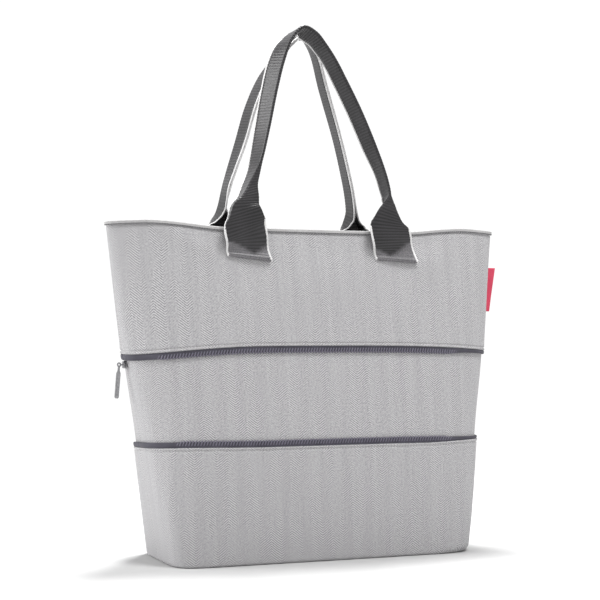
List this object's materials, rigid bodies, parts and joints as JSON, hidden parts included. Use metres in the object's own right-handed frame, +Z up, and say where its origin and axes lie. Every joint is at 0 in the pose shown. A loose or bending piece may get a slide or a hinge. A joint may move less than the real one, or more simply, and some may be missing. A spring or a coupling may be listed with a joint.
{
  "type": "shopper bag",
  "caption": "Soft expandable shopper bag in pale herringbone cloth, with a bound open mouth, webbing handles, an open expansion zip round the body with its pull, and a blank side label.",
  "frame": {"origin": "on the floor under the middle of the base", "axes": "+Z up, -Y the front panel, +X to the right of someone facing the front, where the label is"},
  "size_m": [0.4846, 0.1438, 0.6011],
  "materials": {
    "herringbone_cloth": "pale grey herringbone twill, matt",
    "pale_binding": "pale grey bound edge, matt",
    "zip_tape": "navy grey woven tape",
    "zip_coil": "navy grey moulded teeth, satin",
    "gunmetal": "gunmetal plated die casting",
    "webbing": "charcoal ribbed webbing with pale woven edges",
    "label_ribbon": "raspberry red woven ribbon, blank"
  },
  "bodies": {
    "bag": {"base_panel": "herringbone_cloth", "lower_body": "herringbone_cloth", "middle_band": "herringbone_cloth", "upper_body": "herringbone_cloth", "rim_binding": "pale_binding", "zip_tape_lower": "zip_tape", "zip_teeth_lower": "zip_coil", "zip_tape_upper": "zip_tape", "zip_teeth_upper": "zip_coil", "zip_slider": "gunmetal", "front_handle": "webbing", "back_handle": "webbing", "side_label": "label_ribbon"},
    "pull": {"zip_pull": "gunmetal"}
  },
  "joints": [
    {"name": "pull_swing", "type": "hinge", "parent": "bag", "child": "pull", "pos_m": [-0.2246, 0, 0.2172], "axis": [0, 1, 0], "range_deg": [0, 150]}
  ]
}
